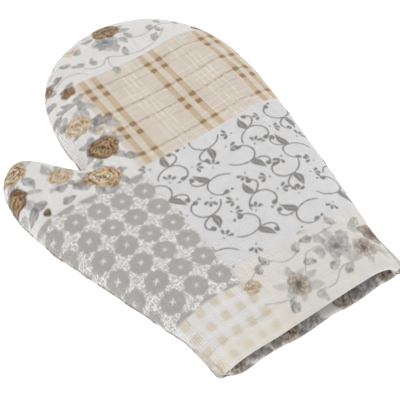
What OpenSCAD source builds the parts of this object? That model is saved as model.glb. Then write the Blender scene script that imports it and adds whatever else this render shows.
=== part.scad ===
// Padded oven mitt lying flat, thumb to the left (-X), fingertips towards +Y, back panel down.
// Each half (front and back) is three nested layers: printed outer cloth, wadding and lining.
// The outer cloth turns in over the cuff edge as a hem. The halves meet at the side seam plane.

/* [Size] */
// Length from the cuff edge to the fingertips
mitt_length = 310; // [280:5:340]
// Width from the thumb to the far side of the hand
mitt_width = 214; // [190:1:230]
// Height of the palm side above the side seam
front_crown = 14; // [12:0.5:18]
// Height of the side seam above the table
seam_height = 8; // [7:0.5:10]

/* [Cloth] */
// Thickness of the printed outer cloth
outer_thick = 0.8; // [0.6:0.1:1.2]
// Thickness of the wadding
wadding_thick = 4; // [3:0.5:5]
// Thickness of the lining cloth
lining_thick = 0.6; // [0.4:0.1:0.9]
// How far the outer cloth turns in at the cuff
hem_depth = 25; // [15:1:28]

/* [Thread] */
// Thickness of the sewing thread
thread_thick = 0.5; // [0.3:0.1:0.6]
// Distance of the hem's row of stitches from the cuff edge
hem_stitch_y = 14; // [8:1:20]
// Length of one stitch
stitch_length = 3; // [2:0.5:4]
// Distance from one stitch to the next
stitch_pitch = 4.5; // [4:0.5:6]

/* [Smoothness] */
// Segments between two neighbouring outline points
steps = 3; // [2:1:4]
// Rings between the side seam and the flat of the palm
rings = 4; // [3:1:6]

/* [Hidden] */

printed = [0.90, 0.88, 0.85];
batting = [0.97, 0.97, 0.95];
beige = [0.86, 0.80, 0.72];
cream = [0.93, 0.90, 0.83];

// The outline below is drawn at this size, and scaled to mitt_width and mitt_length.
drawn_width = 214;
drawn_length = 310;

// Outline from the cuff's left corner round the thumb and the fingertips to its right corner:
// [x, y, how far in from the edge the padding reaches its full height].
outline = [
    [-69, 0, 30], [-74, 30, 30], [-83, 68, 28], [-93, 103, 24], [-102, 134, 18],
    [-107, 166, 14], [-105.5, 193, 14], [-96, 207, 13],
    [-84, 210, 13], [-73, 203, 14], [-62, 189, 14], [-52.5, 180, 14],
    [-51, 197, 18], [-49, 226, 24], [-40, 258, 30], [-21, 286, 34], [7, 304, 36],
    [39, 310, 36],
    [71, 301, 36], [95, 277, 36], [106.5, 244, 34], [107, 206, 32], [101, 167, 30],
    [94, 130, 30], [87, 96, 30], [80, 62, 30], [74.5, 30, 30], [70.5, 0, 30]
];
// Places in the outline: where the thumb leaves the wrist, the crotch, the fingertips
thumb_start = 4;
crotch = 11;
fingertips = 17;
last = len(outline) - 1;

// The back lies flat sooner than the front reaches its crown
back_inset_share = 0.45;
// Room beside each side seam's thread, where the wadding stops short of the cloth
thread_room = 1.4;
// How far each seam's thread stops short of the cuff edge
thread_end = 3;
// The hem's stitches stand this far off the cloth, which they would otherwise cut into
stitch_lift = 0.02;

// Depths of the layers' faces below the outside of the cloth
under_outer = outer_thick;
under_wadding = outer_thick + wadding_thick;
inside = under_wadding + lining_thick;

front = 1;
back = -1;

function scaled(p) = [p[0] * mitt_width / drawn_width, p[1] * mitt_length / drawn_length, p[2]];

// Catmull-Rom curve through four neighbouring points
function curve(a, b, c, d, t) =
    0.5 * (2 * b + (c - a) * t + (2 * a - 5 * b + 4 * c - d) * t * t + (3 * b - 3 * c + d - a) * t * t * t);

// A corner of the cuff moved along its straight side to height y, from outline points i and j
function on_side(i, j, y) =
    let (p = scaled(outline[i]), q = scaled(outline[j])) p + (q - p) * y / q[1];

// The curved stretch, from the second outline point to the last but one
curved = concat(
    [for (i = [1:last - 2]) for (s = [0:steps - 1])
        curve(scaled(outline[i - 1]), scaled(outline[i]), scaled(outline[i + 1]), scaled(outline[i + 2]), s / steps)],
    [scaled(outline[last - 1])]
);

// The whole edge: both straight sides get a row of points at each height in rows, the lowest first
function edge(rows) = concat(
    [for (y = rows) on_side(0, 1, y)],
    curved,
    [for (i = [len(rows) - 1:-1:0]) on_side(last, last - 1, rows[i])]
);

// Everything above is drawn from the cuff edge up; this moves the middle of the box to the origin
across = [for (p = edge([0])) p[0]];
to_origin = [-(min(across) + max(across)) / 2, -mitt_length / 2, 0];

function flat(p) = [p[0], p[1]];
function unit(v) = v / norm(v);
// Direction into the mitt at point i of an edge, level with the cuff on its straight sides
function inward(e, i, n) =
    i < n ? [1, 0]
    : i >= len(e) - n ? [-1, 0]
    : let (along = unit(flat(e[i + 1]) - flat(e[i - 1]))) [along[1], -along[0]];

function core_share(side) = side == front ? 1 : back_inset_share;
function crown(side) = side == front ? front_crown : seam_height;

// Points of one face of a layer: for each point of the edge, rings + 1 points from the side seam in.
// gap moves only the ring at the seam inwards.
function face_points(side, depth, rows, gap = 0) =
    let (e = edge(rows), n = len(rows))
    [for (i = [0:len(e) - 1]) for (k = [0:rings])
        let (
            p = flat(e[i]),
            dir = inward(e, i, n),
            turn = 90 * k / rings,
            from_edge = depth + (k == 0 ? gap : 0),
            full = e[i][2] * core_share(side),
            in = from_edge + (full - from_edge) * (1 - cos(turn)),
            up = (crown(side) - depth) * sin(turn)
        )
        [p[0] + dir[0] * in, p[1] + dir[1] * in, seam_height + side * up]];

function flip(faces) = [for (f = faces) [for (i = [len(f) - 1:-1:0]) f[i]]];
function shift(faces, by) = [for (f = faces) [for (i = f) i + by]];

// Two triangles for each square between point rows a and b of the same length
function strip(a, b) =
    [for (i = [0:len(a) - 2]) for (f = [[a[i], a[i + 1], b[i + 1]], [a[i], b[i + 1], b[i]]]) f];

// Index of ring k at edge point i
function at(i, k) = i * (rings + 1) + k;
function ring(points, k) = [for (i = [0:points - 1]) at(i, k)];
// The face's end at the cuff, from the left seam over the flat to the right seam
function cuff_line(points) =
    concat([for (k = [0:rings]) at(0, k)], [for (k = [rings:-1:0]) at(points - 1, k)]);

// The flat middle of a face, as squares between its left and right side. The thumb has its own.
function middle(points, rows) =
    let (
        wrist = rows + (thumb_start - 1) * steps,
        fork = rows + (crotch - 1) * steps,
        tip = rows + (fingertips - 1) * steps,
        thumb_half = floor((fork - wrist) / 2)
    )
    concat(
        rungs(0, points - 1, wrist),
        [[at(wrist, rings), at(fork, rings), at(points - 1 - wrist, rings)]],
        rungs(wrist, fork, thumb_half),
        rungs(fork, points - 1 - wrist, tip - fork)
    );

// Squares, and a last triangle where the sides meet, from points left and right, count steps on
function rungs(left, right, count) =
    [for (j = [0:1:count - 1])
        let (a = left + j, b = right - j)
        for (f = [[a, a + 1, b], [a + 1, b - 1, b]])
            if (f[0] != f[1]) [for (i = f) at(i, rings)]];

// All triangles of a face, seen from above
function face_triangles(points, rows) = concat(
    [for (k = [0:rings - 1]) for (f = strip(ring(points, k), ring(points, k + 1))) f],
    middle(points, rows)
);

// A closed layer between two faces, with straight ends at the cuff
module layer(side, depth, under, rows, gap = 0, under_gap = 0) {
    upper = face_points(side, depth, rows, gap);
    lower = face_points(side, under, rows, under_gap);
    points = len(upper) / (rings + 1);
    below = len(upper);
    faces = concat(
        face_triangles(points, len(rows)),
        shift(flip(face_triangles(points, len(rows))), below),
        strip([for (i = ring(points, 0)) i + below], ring(points, 0)),
        strip(cuff_line(points), [for (i = cuff_line(points)) i + below])
    );
    polyhedron(concat(upper, lower), side == front ? faces : flip(faces));
}

// One cuff line, at height y and the given depth
function cuff_points(side, depth, y) =
    let (p = face_points(side, depth, [y]), n = len(p) / (rings + 1)) [for (i = cuff_line(n)) p[i]];

// The outer cloth of one half: its skin, the fold round the wadding's end, and the hem turned in
module outer(side) {
    fold = [outer_thick, hem_depth];
    upper = face_points(side, 0, [0, hem_depth]);
    lower = face_points(side, under_outer, fold);
    points = len(upper) / (rings + 1);
    below = len(upper);
    line = cuff_line(points);
    loop = len(line);
    hem = [
        cuff_points(side, under_wadding, outer_thick),
        cuff_points(side, under_wadding, hem_depth),
        cuff_points(side, inside, hem_depth),
        cuff_points(side, inside, 0)
    ];
    starts = [for (j = [0:3]) 2 * below + j * loop];
    lines = concat(
        [[for (i = line) i + below]],
        [for (s = starts) [for (i = [0:loop - 1]) s + i]],
        [line]
    );
    ends = [for (i = [0, loop - 1]) [for (l = lines) l[i]]];
    faces = concat(
        face_triangles(points, 2),
        shift(flip(face_triangles(points, 2)), below),
        strip([for (i = ring(points, 0)) i + below], ring(points, 0)),
        [for (j = [0:4]) for (f = strip(lines[j + 1], lines[j])) f],
        flip(hem_end(ends[0])),
        hem_end(ends[1])
    );
    polyhedron(concat(upper, lower, [for (h = hem) for (p = h) p]), side == front ? faces : flip(faces));
}

// The turned-in hem's face on the seam plane, from its six corners
function hem_end(c) = [[c[5], c[0], c[1]], [c[5], c[1], c[4]], [c[4], c[1], c[2]], [c[4], c[2], c[3]]];

// A thread along the side seam plane, depth in from the outside
module seam_thread(depth) {
    rows = [thread_end, hem_depth];
    e = edge(rows);
    r = thread_thick / 2;
    sides = 6;
    points = [for (i = [0:len(e) - 1]) for (s = [0:sides - 1])
        let (dir = inward(e, i, len(rows)), in = depth + r * cos(60 * s))
        [e[i][0] + dir[0] * in, e[i][1] + dir[1] * in, seam_height + r * sin(60 * s)]];
    faces = concat(
        [[for (s = [0:sides - 1]) s]],
        [for (i = [0:len(e) - 2]) for (s = [0:sides - 1])
            let (a = i * sides + s, b = i * sides + (s + 1) % sides)
            for (f = [[a, a + sides, b + sides], [a, b + sides, b]]) f],
        [[for (s = [sides - 1:-1:0]) (len(e) - 1) * sides + s]]
    );
    polyhedron(points, flip(faces));
}

module outer_front() {
    color(printed) translate(to_origin) outer(front);
}

module outer_back() {
    color(printed) translate(to_origin) outer(back);
}

module wadding_front() {
    color(batting) translate(to_origin)
        layer(front, under_outer, under_wadding, [outer_thick, hem_depth], thread_room, -thread_room);
}

module wadding_back() {
    color(batting) translate(to_origin)
        layer(back, under_outer, under_wadding, [outer_thick, hem_depth], thread_room, -thread_room);
}

module lining_front() {
    color(beige) translate(to_origin) layer(front, under_wadding, inside, [hem_depth]);
}

module lining_back() {
    color(beige) translate(to_origin) layer(back, under_wadding, inside, [hem_depth]);
}

module outer_seam_thread() {
    color(cream) translate(to_origin) seam_thread(under_outer + thread_room / 2);
}

module lining_seam_thread() {
    color(cream) translate(to_origin) seam_thread(under_wadding - thread_room / 2);
}

// The hem's stitches that show lie across the flat of the front, just off its cloth
module hem_stitches() {
    left = on_side(0, 1, hem_stitch_y);
    right = on_side(last, last - 1, hem_stitch_y);
    from = left[0] + left[2];
    room = right[0] - right[2] - from;
    count = floor(room / stitch_pitch);
    color(cream) translate(to_origin)
        for (i = [0:count - 1])
            translate([
                from + (i + 0.5) * room / count - stitch_length / 2,
                hem_stitch_y - thread_thick / 2,
                seam_height + front_crown + stitch_lift
            ])
                cube([stitch_length, thread_thick, thread_thick / 2]);
}

outer_front();
outer_back();
wadding_front();
wadding_back();
lining_front();
lining_back();
outer_seam_thread();
lining_seam_thread();
hem_stitches();
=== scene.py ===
"""Padded oven mitt, lying palm up with its cuff towards the camera.

Shapes are worked out in millimetres in the row frame (X across, Y to the fingertips, Z up) and turned
into metres when a mesh is made. Each cloth carries its place in the flat print as an attribute.
"""

import math

import bmesh
import bpy
import numpy as np
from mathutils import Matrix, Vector
from mathutils.bvhtree import BVHTree


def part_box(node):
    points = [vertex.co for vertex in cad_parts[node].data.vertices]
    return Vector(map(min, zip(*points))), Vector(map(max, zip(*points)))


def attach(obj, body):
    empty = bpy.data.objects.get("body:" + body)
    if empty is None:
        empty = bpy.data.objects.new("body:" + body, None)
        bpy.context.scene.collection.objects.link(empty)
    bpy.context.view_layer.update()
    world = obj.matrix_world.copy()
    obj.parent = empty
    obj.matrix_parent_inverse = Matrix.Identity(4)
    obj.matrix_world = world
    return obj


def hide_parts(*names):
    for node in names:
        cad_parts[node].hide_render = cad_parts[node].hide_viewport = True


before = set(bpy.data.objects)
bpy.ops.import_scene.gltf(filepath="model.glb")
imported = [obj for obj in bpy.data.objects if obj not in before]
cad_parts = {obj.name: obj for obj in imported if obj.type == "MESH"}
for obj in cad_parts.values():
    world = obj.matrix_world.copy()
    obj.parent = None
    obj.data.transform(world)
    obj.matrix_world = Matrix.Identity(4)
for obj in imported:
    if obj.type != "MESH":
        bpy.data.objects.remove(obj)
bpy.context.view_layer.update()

# ---------------------------------------------------------------- sizes, in millimetres

MM = 0.001

# The outline, drawn flat from the cuff's left corner round the thumb and the fingertips to its right
# corner: x, y above the cuff, and how far in from the edge the padding reaches its full height.
OUTLINE = np.array([
    (-69, 0, 30), (-74, 30, 30), (-83, 68, 28), (-93, 103, 24), (-102, 134, 18),
    (-107, 166, 14), (-105.5, 193, 14), (-96, 207, 13),
    (-84, 210, 13), (-73, 203, 14), (-62, 189, 14), (-52.5, 180, 14),
    (-51, 197, 18), (-49, 226, 24), (-40, 258, 30), (-21, 286, 34), (7, 304, 36),
    (39, 310, 36),
    (71, 301, 36), (95, 277, 36), (106.5, 244, 34), (107, 206, 32), (101, 167, 30),
    (94, 130, 30), (87, 96, 30), (80, 62, 30), (74.5, 30, 30), (70.5, 0, 30),
])
OUTLINE_STEPS = 10

LOW, HIGH = (np.array(corner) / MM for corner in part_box("outer_back"))
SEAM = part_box("outer_back")[1].z / MM
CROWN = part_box("outer_front")[1].z / MM - SEAM
CUFF = LOW[1]

CLOTH = 0.8
WADDING = 4.0
LINING = 0.6
UNDER_WADDING = CLOTH + WADDING
INSIDE = UNDER_WADDING + LINING

HEM_DEPTH = 25.0
HEM_STITCHES_AT = 14.0
STITCH_PITCH = 3.6
STITCH_LENGTH = 2.2
STITCH_THICK = 0.4
STITCH_RISE = 0.12
STITCH_ROW_END = 6.0
THREAD_THICK = 0.5
THREAD_ROOM = 1.4
THREAD_END = 4.0
THREAD_SIDES = 6
LIP = UNDER_WADDING / 2
BACK_INSET_SHARE = 0.45
SEAM_PINCH = 0.7
PINCH_HEIGHT = 1.0
SEAM_SAG = 2.2
HEM_ARC_STEPS = 7
HEM_ROWS = 16
HEM_OVERLAP = 2.0
WADDING_ROOM_OUT = 0.6
WADDING_ROOM_IN = 0.4

FRONT_GRID = 0.78
BACK_GRID = 1.0
INNER_GRID = 2.5

FRONT, BACK = 1, -1

# ---------------------------------------------------------------- the outline and the padded profile


def smooth_curve(points, steps, straight_ends=False):
    """A Catmull-Rom curve through points, with this many steps between two of them."""
    t = np.arange(steps)[:, None] / steps
    padded = points if straight_ends else np.vstack([points[:1], points, points[-1:]])
    parts = []
    for a, b, c, d in zip(padded, padded[1:], padded[2:], padded[3:]):
        parts.append(0.5 * (2 * b + (c - a) * t + (2 * a - 5 * b + 4 * c - d) * t**2
                            + (3 * b - 3 * c + d - a) * t**3))
    parts.append(padded[-2:-1])
    return np.vstack(parts)


def side_seam():
    """The side seam seen from above, placed in the CAD model's box: x, y and inset."""
    curved = smooth_curve(OUTLINE, OUTLINE_STEPS, straight_ends=True)
    edge = np.vstack([OUTLINE[:1], curved, OUTLINE[-1:]]).astype(float)
    edge[:, 0] += (LOW[0] + HIGH[0]) / 2 - (edge[:, 0].min() + edge[:, 0].max()) / 2
    edge[:, 1] += CUFF
    return edge


EDGE = side_seam()
EDGE_LENGTH = np.concatenate([[0], np.cumsum(np.hypot(*np.diff(EDGE[:, :2], axis=0).T))])


def inside_outline(points):
    """True for each point within the outline."""
    start, end = EDGE[:, :2], np.roll(EDGE[:, :2], -1, axis=0)
    odd = np.zeros(len(points), bool)
    for (ax, ay), (bx, by) in zip(start, end):
        if ay == by:
            continue
        spans = (points[:, 1] < ay) != (points[:, 1] < by)
        odd ^= spans & (points[:, 0] < ax + (points[:, 1] - ay) * (bx - ax) / (by - ay))
    return odd


def nearest_on_seam(points):
    """For each point: its distance to the side seam, the nearest place on it, the inset there, and
    how far along the seam that is."""
    best = np.full(len(points), np.inf)
    place = np.zeros((len(points), 2))
    inset = np.zeros(len(points))
    along = np.zeros(len(points))
    for i, (a, b) in enumerate(zip(EDGE, EDGE[1:])):
        step = b[:2] - a[:2]
        t = np.clip((points - a[:2]) @ step / (step @ step), 0, 1)
        q = a[:2] + t[:, None] * step
        d = np.hypot(*(points - q).T)
        nearer = d < best
        best[nearer] = d[nearer]
        place[nearer] = q[nearer]
        inset[nearer] = (a[2] + t * (b[2] - a[2]))[nearer]
        along[nearer] = (EDGE_LENGTH[i] + t * (EDGE_LENGTH[i + 1] - EDGE_LENGTH[i]))[nearer]
    return best, place, inset, along


def noise(x, y, size, seed):
    """Smooth random values from 0 to 1, whose bumps are about size across."""
    table = np.random.default_rng(seed).random((64, 64))
    u, v = x / size, y / size
    i, j = np.floor(u).astype(int), np.floor(v).astype(int)
    s, t = u - i, v - j
    s, t = s * s * (3 - 2 * s), t * t * (3 - 2 * t)
    low = table[i % 64, j % 64] * (1 - s) + table[(i + 1) % 64, j % 64] * s
    high = table[i % 64, (j + 1) % 64] * (1 - s) + table[(i + 1) % 64, (j + 1) % 64] * s
    return low * (1 - t) + high * t


def full_height(side, depth):
    """Height of a layer's face over the seam plane where the padding is full."""
    return (CROWN if side == FRONT else SEAM) - depth


def full_inset(side, inset):
    return inset * (1 if side == FRONT else BACK_INSET_SHARE)


def rise(side, depth, distance, inset):
    """Height of a layer's face over the seam plane, at this distance from the seam."""
    reach = full_inset(side, inset) - depth
    t = np.clip((distance - depth) / reach, 0, 1)
    return full_height(side, depth) * np.sqrt(t * (2 - t))


def distance_at(side, depth, height, inset):
    """Distance from the seam at which a layer's face has this height: the reverse of rise."""
    reach = full_inset(side, inset) - depth
    share = np.clip(height / full_height(side, depth), 0, 1)
    return depth + reach * (1 - np.sqrt(1 - share**2))


# ---------------------------------------------------------------- meshes of cloth


class Cloth:
    """A mesh under construction: points in millimetres, faces, and each point's place in the print."""

    def __init__(self, points, flat, faces):
        self.points, self.flat, self.faces = points, flat, faces

    def edge_loops(self):
        """The edges that only one face uses, each as that face runs along it."""
        starts = self.faces
        ends = np.roll(self.faces, -1, axis=1)
        pairs = np.stack([starts.ravel(), ends.ravel()], axis=1)
        key = np.sort(pairs, axis=1)
        _, index, count = np.unique(key, axis=0, return_index=True, return_counts=True)
        return pairs[index[count == 1]]

    def extrude(self, edges, rows):
        """Grows the cloth from edges by rows. Each row is (points, flat) for the edges' own vertices,
        in the order of used_by(edges)."""
        used = used_by(edges)
        previous = used
        for points, flat in rows:
            added = len(self.points) + np.arange(len(used))
            self.points = np.vstack([self.points, points])
            self.flat = np.vstack([self.flat, flat])
            a, b = (np.searchsorted(used, edges[:, k]) for k in (0, 1))
            quads = np.stack([previous[b], previous[a], added[a], added[b]], axis=1)
            self.faces = np.vstack([self.faces, quads])
            previous = added


def used_by(edges):
    return np.unique(edges)


def cloth_panel(side, depth, grid, cuff):
    """One face of a layer, as a grid of squares with rows that close it to the side seam."""
    low, high = EDGE[:, :2].min(0), EDGE[:, :2].max(0)
    xs = np.arange(low[0], high[0] + grid, grid)
    ys = np.arange(cuff, high[1] + grid, grid)
    columns, rows = len(xs), len(ys)
    flat = np.stack(np.meshgrid(xs, ys), axis=2).reshape(-1, 2)
    distance, place, inset, _ = nearest_on_seam(flat)
    kept = inside_outline(flat + (0, 1e-3)) & (distance > depth + 0.45 * grid)
    corner = (np.arange(rows - 1)[:, None] * columns + np.arange(columns - 1)).ravel()
    faces = np.stack([corner, corner + 1, corner + columns + 1, corner + columns], axis=1)
    faces = faces[kept[faces].all(axis=1)]
    if side == BACK:
        faces = faces[:, ::-1]
    used = np.unique(faces)
    faces = np.searchsorted(used, faces)
    flat, distance, place, inset = flat[used], distance[used], place[used], inset[used]
    height = rise(side, depth, distance, inset)
    cloth = Cloth(np.column_stack([flat, SEAM + side * height]), flat, faces)

    edges = cloth.edge_loops()
    on_cuff = np.isclose(cloth.points[edges, 1], cuff).all(axis=1)
    edges = edges[~on_cuff]
    ring = used_by(edges)
    inward = (flat[ring] - place[ring]) / distance[ring, None]
    count = max(2, round(2.8 / grid) + 3)
    rows = []
    for k in range(1, count + 1):
        up = height[ring] * (1 - k / count)
        d = distance_at(side, depth, up, inset[ring])
        xy = place[ring] + inward * d[:, None]
        beyond = place[ring] + inward * (d - 0.6 * (height[ring] - up))[:, None]
        rows.append((np.column_stack([xy, SEAM + side * up]), beyond))
    cloth.extrude(edges, rows)
    return cloth


def add_mesh(name, points, faces):
    """A Blender object of a mesh, from points in millimetres."""
    mesh = bpy.data.meshes.new(name)
    mesh.from_pydata((points * MM).tolist(), [], faces)
    obj = bpy.data.objects.new(name, mesh)
    bpy.context.scene.collection.objects.link(obj)
    return obj


# ---------------------------------------------------------------- how the cloth settles

PILLOW_GRID = 4.0
PILLOW_VOXEL = 5.0
PILLOW_FRAMES = 20
PILLOW_REACH = 4.0
PILLOW_SPARE_CLOTH = 0.015
PILLOW_PRESSURE = 4.0
PILLOW_BENDING = 0.4
PILLOW_MASS = 0.2
PILLOW_QUALITY = 6
HELD_UNDER = 1.5
HELD_AT_CUFF = 3.0
RAY_START = 100.0
PUFF_LIMIT = 1.2
BLUR_ROUNDS = 40
CUFF_NARROWING = 0.055
NARROWING_FADES = 45.0
LIP_FADES_UP = 38.0
LIP_FADES_BACK = 22.0
LIP_X = [-60, -30, 0, 30, 60]
UPPER_LIP_UP = [-5.0, -4.0, -1.6, -0.4, 0.6]
UPPER_LIP_BACK = [-1.2, -1.0, 0.0, 0.8, 1.2]
LOWER_LIP_BACK = [-1.6, -0.8, -0.6, 0.6, 1.6]


def closed_pillow():
    """The mitt's two outer faces as one closed, evenly meshed pillow in metres."""
    front = cloth_panel(FRONT, 0, PILLOW_GRID, CUFF)
    back = cloth_panel(BACK, 0, PILLOW_GRID, CUFF)
    points = np.vstack([front.points, back.points])
    faces = np.vstack([front.faces, back.faces + len(front.points)])
    pillow = add_mesh("pillow", points, faces.tolist())
    shell = bmesh.new()
    shell.from_mesh(pillow.data)
    bmesh.ops.remove_doubles(shell, verts=shell.verts, dist=0.0001)
    bmesh.ops.holes_fill(shell, edges=[edge for edge in shell.edges if edge.is_boundary], sides=0)
    shell.to_mesh(pillow.data)
    shell.free()
    remesh = pillow.modifiers.new("even", "REMESH")
    remesh.mode = "VOXEL"
    remesh.voxel_size = PILLOW_VOXEL * MM
    evaluated = pillow.evaluated_get(bpy.context.evaluated_depsgraph_get())
    even = bpy.data.meshes.new_from_object(evaluated)
    pillow.modifiers.clear()
    pillow.data = even
    return pillow


def top_heights(points, faces, places):
    """Height of a mesh's top at each place, or nan where there is none."""
    tree = BVHTree.FromPolygons(points.tolist(), faces)
    down = Vector((0, 0, -1))
    found = (tree.ray_cast(Vector((x, y, RAY_START * MM)), down)[0] for x, y in places * MM)
    return np.array([np.nan if hit is None else hit.z / MM for hit in found])


def mesh_points(mesh):
    points = np.empty(3 * len(mesh.vertices))
    mesh.vertices.foreach_get("co", points)
    return points.reshape(-1, 3)


def simulated_puff():
    """How unevenly the filling lifts the top, over a grid of places. It is a cloth simulation of the
    closed pillow: held along the side seam, the underside and the cuff, a little too big for its
    outline, and under light pressure. Only the rise or drop over its own broad average is kept,
    because the whole lift stretched the print and the outline away from the photo's."""
    low, high = EDGE[:, :2].min(0), EDGE[:, :2].max(0)
    xs, ys = (np.arange(low[k], high[k] + PILLOW_GRID, PILLOW_GRID) for k in (0, 1))
    places = np.stack(np.meshgrid(xs, ys), axis=2).reshape(-1, 2)
    pillow = closed_pillow()
    faces = [tuple(face.vertices) for face in pillow.data.polygons]
    before = mesh_points(pillow.data)
    held = pillow.vertex_groups.new(name="held")
    still = (before[:, 2] < (SEAM + HELD_UNDER) * MM) | (before[:, 1] < (CUFF + HELD_AT_CUFF) * MM)
    held.add(np.nonzero(still)[0].tolist(), 1.0, "REPLACE")
    modifier = pillow.modifiers.new("cloth", "CLOTH")
    cloth = modifier.settings
    cloth.quality = PILLOW_QUALITY
    cloth.mass = PILLOW_MASS
    cloth.bending_stiffness = PILLOW_BENDING
    cloth.vertex_group_mass = "held"
    cloth.shrink_min = -PILLOW_SPARE_CLOTH
    cloth.use_pressure = True
    cloth.uniform_pressure_force = PILLOW_PRESSURE
    cloth.effector_weights.gravity = 0.0
    modifier.point_cache.frame_start = 1
    modifier.point_cache.frame_end = PILLOW_FRAMES
    scene = bpy.context.scene
    for frame_number in range(1, PILLOW_FRAMES + 1):
        scene.frame_set(frame_number)
    after = mesh_points(pillow.evaluated_get(bpy.context.evaluated_depsgraph_get()).data)
    moved = np.clip(after - before, -PILLOW_REACH * MM, PILLOW_REACH * MM)
    change = top_heights(before + moved, faces, places) - top_heights(before, faces, places)
    bpy.data.objects.remove(pillow)
    scene.frame_set(1)
    change = np.nan_to_num(change).reshape(len(ys), len(xs))
    return xs, ys, np.clip(change - blurred(change), -PUFF_LIMIT, PUFF_LIMIT)


def blurred(values):
    """A broad average of a grid."""
    for _ in range(BLUR_ROUNDS):
        wide = np.pad(values, 1, mode="edge")
        values = (values + wide[2:, 1:-1] + wide[:-2, 1:-1] + wide[1:-1, 2:] + wide[1:-1, :-2]) / 5
    return values


def on_grid(grid, x, y):
    """The grid's value at each x, y, between its four nearest places."""
    xs, ys, values = grid
    u = np.clip((x - xs[0]) / (xs[1] - xs[0]), 0, len(xs) - 1.001)
    v = np.clip((y - ys[0]) / (ys[1] - ys[0]), 0, len(ys) - 1.001)
    i, j = u.astype(int), v.astype(int)
    s, t = u - i, v - j
    near = values[j, i] * (1 - s) + values[j, i + 1] * s
    far = values[j + 1, i] * (1 - s) + values[j + 1, i + 1] * s
    return near * (1 - t) + far * t


def settle(points, side):
    """Moves points of any layer as the finished mitt lies: a narrower cuff with curved lips, a sagging
    seam, and an uneven top."""
    x, y, z = points.T
    above_cuff = y - CUFF
    share = np.clip(side * (z - SEAM) / full_height(side, 0), 0, 1)
    sag = SEAM_SAG * (1 - share) ** 2 if side == FRONT else SEAM_SAG * (1 - share)
    near_cuff = np.exp(-((above_cuff / LIP_FADES_UP) ** 2))
    at_cuff = np.exp(-((above_cuff / LIP_FADES_BACK) ** 2))
    out = points.copy()
    out[:, 0] -= CUFF_NARROWING * x * np.exp(-((above_cuff / NARROWING_FADES) ** 2))
    out[:, 2] -= sag
    if side == FRONT:
        out[:, 2] += np.interp(x, LIP_X, UPPER_LIP_UP) * near_cuff * share
        out[:, 1] += np.interp(x, LIP_X, UPPER_LIP_BACK) * at_cuff * share
        soft = noise(x, y, 34, 3) - 0.5
        out[:, 2] += (1.2 * soft + on_grid(PUFF, x, y)) * share
    else:
        out[:, 1] += (np.interp(x, LIP_X, LOWER_LIP_BACK) + 0.7 * np.sin(x / 7)) * at_cuff * share
    return out


PUFF = simulated_puff()


def pinch(cloth):
    """Draws the cloth in towards the stitching along the side seam, with small puckers."""
    distance, place, _, along = nearest_on_seam(cloth.points[:, :2])
    away = cloth.points[:, :2] - place
    inward = away / np.maximum(distance, 1e-6)[:, None]
    at_seam = distance < 1e-3
    inward[at_seam] = seam_inward(along[at_seam])
    up = np.abs(cloth.points[:, 2] - SEAM)
    ripple = noise(along, np.zeros_like(along), 5.5, 11) - 0.5
    pull = SEAM_PINCH * np.exp(-up / PINCH_HEIGHT) + 0.9 * ripple * np.exp(-((up - 2.5) / 3.0) ** 2)
    near = np.exp(-((distance / 9) ** 2))
    cloth.points[:, :2] += inward * (pull * near)[:, None]


def seam_inward(along):
    """Direction into the mitt, level, at these lengths along the seam."""
    middle = (EDGE_LENGTH[1:] + EDGE_LENGTH[:-1]) / 2
    step = np.diff(EDGE[:, :2], axis=0) / np.diff(EDGE_LENGTH)[:, None]
    normal = np.column_stack([step[:, 1], -step[:, 0]])
    found = np.column_stack([np.interp(along, middle, normal[:, k]) for k in (0, 1)])
    return found / np.hypot(*found.T)[:, None]


def hem(cloth, side, cuff):
    """Turns the cloth in round the wadding's end and back into the mouth. Known fault: the pinch
    makes the ring's x run backwards for a few points at each end of the mouth, so the order taken
    from it is wrong there, and part of the lip turns outwards."""
    edges = cloth.edge_loops()
    edges = edges[np.isclose(cloth.points[edges, 1], cuff, atol=0.3).all(axis=1)]
    ring = used_by(edges)
    start = cloth.points[ring]
    order = np.argsort(start[:, 0], kind="stable")
    dx = np.gradient(start[order, 0])
    dz = np.gradient(start[order, 2])
    length = np.hypot(dx, dz) + 1e-9
    inward = np.empty((len(ring), 3))
    inward[order] = np.column_stack([side * dz / length, np.zeros(len(ring)), -side * dx / length])
    flat = cloth.flat[ring]
    rows = []
    for k in range(1, HEM_ARC_STEPS + 1):
        turn = math.pi * k / HEM_ARC_STEPS
        point = start + inward * LIP * (1 - math.cos(turn))
        point[:, 1] -= LIP * math.sin(turn)
        rows.append((point, flat - (0, LIP * turn)))
    for k in range(1, HEM_ROWS + 1):
        go = (HEM_DEPTH - LIP) * k / HEM_ROWS
        point = start + inward * 2 * LIP
        point[:, 1] += go
        rows.append((point, flat - (0, LIP * math.pi + go)))
    cloth.extrude(edges, rows)


def make_object(name, cloth, colours=None):
    """A Blender mesh of a cloth, with its place in the print as the attribute cloth_mm."""
    obj = add_mesh(name, cloth.points, cloth.faces.tolist())
    mesh = obj.data
    mesh.validate()
    mesh.polygons.foreach_set("use_smooth", np.ones(len(mesh.polygons), bool))
    place = mesh.attributes.new("cloth_mm", "FLOAT_VECTOR", "POINT")
    place.data.foreach_set("vector", np.column_stack([cloth.flat, 0 * cloth.flat[:, :1]]).ravel())
    if colours is not None:
        layer = mesh.attributes.new("print", "FLOAT_COLOR", "POINT")
        layer.data.foreach_set("color", colours.ravel())
    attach(obj, "root")
    return obj


def printed_cloth(side, grid):
    cuff = CUFF + LIP
    cloth = cloth_panel(side, 0, grid, cuff)
    pinch(cloth)
    cloth.panel_count = len(cloth.points)
    hem(cloth, side, cuff)
    cloth.points = settle(cloth.points, side)
    return cloth


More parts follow.
